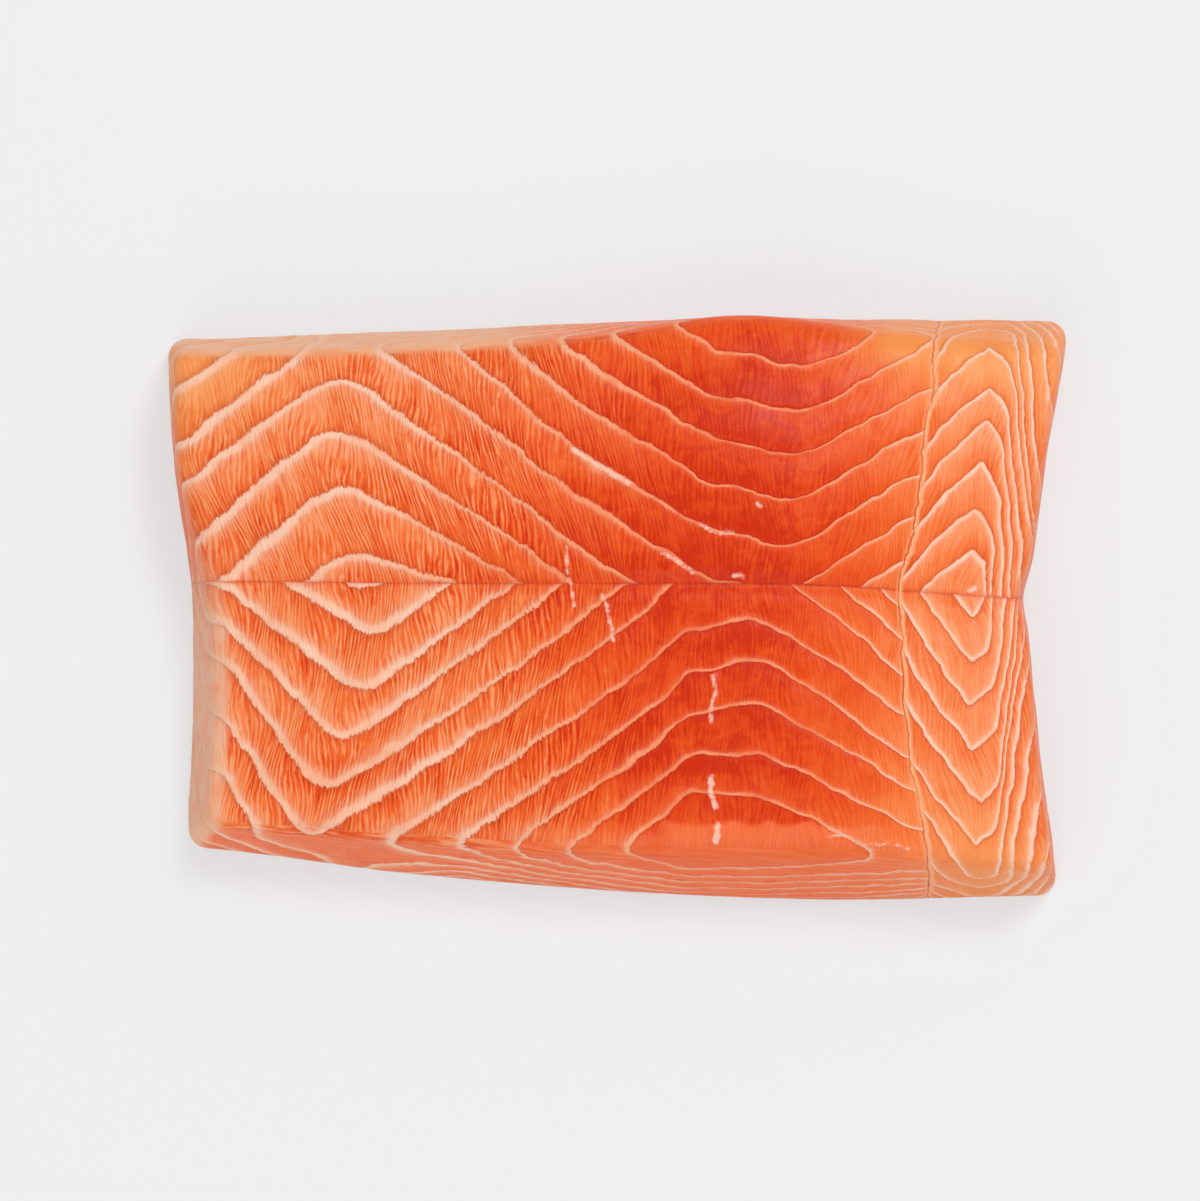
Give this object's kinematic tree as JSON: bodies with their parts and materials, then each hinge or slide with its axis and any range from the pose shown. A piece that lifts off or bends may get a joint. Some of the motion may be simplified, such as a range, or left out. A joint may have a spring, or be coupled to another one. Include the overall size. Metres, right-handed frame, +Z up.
{
  "type": "raw salmon fillet",
  "caption": "Raw skinless salmon fillet, a thick trimmed block lying flat with its marbled side up and its cut sides sloping out to the base.",
  "frame": {"origin": "centre of the fillet's bounding box, at the flat underside that it rests on", "axes": "+X along the length towards the narrow ringed end, +Y across the depth towards the back side with the swelling, +Z up through the thickness"},
  "size_m": [0.162, 0.105, 0.026],
  "materials": {
    "salmon_flesh": "moist orange flesh with pale fat lines"
  },
  "bodies": {
    "root": {"fillet": "salmon_flesh"}
  },
  "joints": []
}
